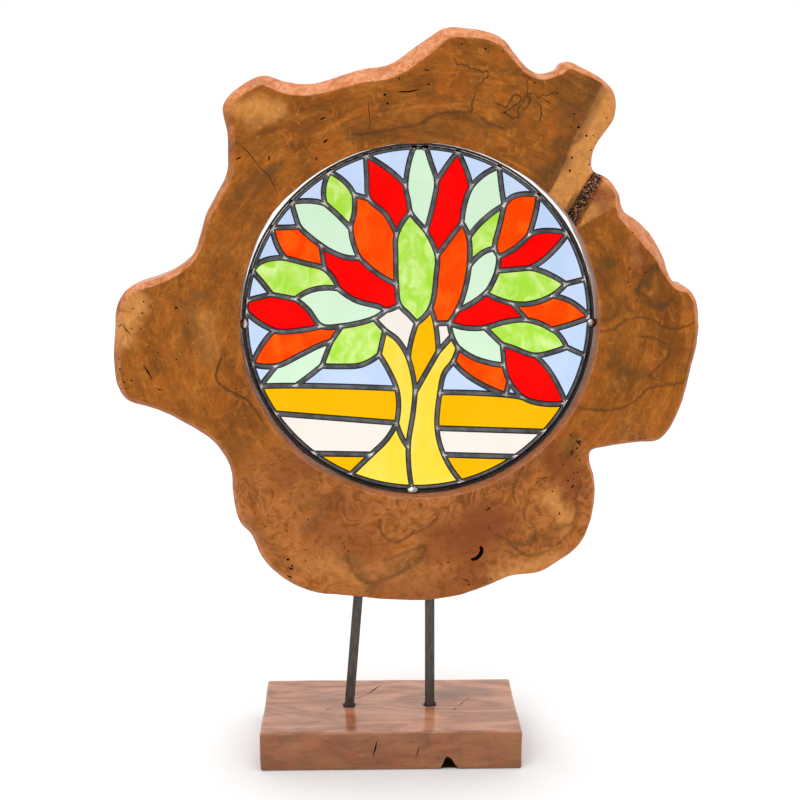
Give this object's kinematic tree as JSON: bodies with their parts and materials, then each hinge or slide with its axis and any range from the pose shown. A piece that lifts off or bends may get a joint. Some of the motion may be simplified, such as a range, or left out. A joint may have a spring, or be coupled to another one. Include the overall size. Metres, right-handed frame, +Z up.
{
  "type": "stained glass ornament",
  "caption": "Leaded-glass tree-of-life roundel pinned in the round window of a live-edge teak slab, standing on slim steel bars over a rectangular teak block.",
  "frame": {"origin": "centre of the base block's underside, at the level of the table", "axes": "+Z up, -Y towards the viewer (the front of the glass), +X to the viewer's right"},
  "size_m": [0.4163, 0.104, 0.5277],
  "materials": {
    "teak": "clear glossy lacquer over figured teak root wood",
    "dark_steel": "dark waxed mill-scale steel",
    "hoop_metal": "dark patinated flat strip",
    "lead": "dark patinated lead came with brighter soldered joints",
    "solder": "bright solder",
    "glass_red": "smooth clear red cathedral glass",
    "glass_orange": "streaky orange glass",
    "glass_lime": "wispy lime green glass",
    "glass_mint": "pale mint glass",
    "glass_cream": "near-clear cream glass with fine seeds",
    "glass_yellow": "pale yellow glass",
    "glass_amber": "clear amber glass",
    "glass_sky": "pale blue glass"
  },
  "bodies": {
    "root": {"teak_slab": "teak", "base_block": "teak", "support_bar_left": "dark_steel", "support_bar_right": "dark_steel", "hoop": "hoop_metal", "leading": "lead", "pin_top": "solder", "pin_right": "solder", "pin_bottom": "solder", "pin_left": "solder", "leaf_upper_left_red": "glass_red", "leaf_left_red": "glass_red", "leaf_lower_left_red": "glass_red", "leaf_upper_right_red": "glass_red", "leaf_right_red": "glass_red", "leaf_lower_right_red": "glass_red", "leaf_bottom_right_red": "glass_red", "leaf_upper_left_orange": "glass_orange", "leaf_left_orange": "glass_orange", "leaf_lower_left_orange": "glass_orange", "leaf_centre_right_orange": "glass_orange", "leaf_upper_right_orange": "glass_orange", "leaf_far_right_orange": "glass_orange", "leaf_bottom_right_orange": "glass_orange", "leaf_centre": "glass_lime", "leaf_upper_left_lime": "glass_lime", "leaf_left_lime": "glass_lime", "leaf_bottom_left_lime": "glass_lime", "leaf_right_lime": "glass_lime", "leaf_far_right_lime": "glass_lime", "leaf_lower_right_lime": "glass_lime", "leaf_top": "glass_mint", "leaf_left_mint": "glass_mint", "leaf_lower_left_mint": "glass_mint", "leaf_bottom_left_mint": "glass_mint", "leaf_upper_right_mint": "glass_mint", "leaf_right_mint": "glass_mint", "leaf_lower_right_mint": "glass_mint", "branch_gap_left": "glass_cream", "branch_gap_right": "glass_cream", "ground_left_cream": "glass_cream", "ground_right_cream": "glass_cream", "trunk_left": "glass_yellow", "trunk_right": "glass_yellow", "trunk_foot": "glass_yellow", "trunk_centre": "glass_amber", "ground_left_amber": "glass_amber", "ground_left_foot": "glass_amber", "ground_right_amber": "glass_amber", "ground_right_foot": "glass_amber", "sky_left_horizon": "glass_sky", "sky_right_horizon": "glass_sky", "sky_upper_left": "glass_sky", "sky_left": "glass_sky", "sky_lower_left": "glass_sky", "sky_upper_right": "glass_sky", "sky_right": "glass_sky", "sky_far_right": "glass_sky", "sky_low_right": "glass_sky", "sky_lower_right": "glass_sky"}
  },
  "joints": []
}
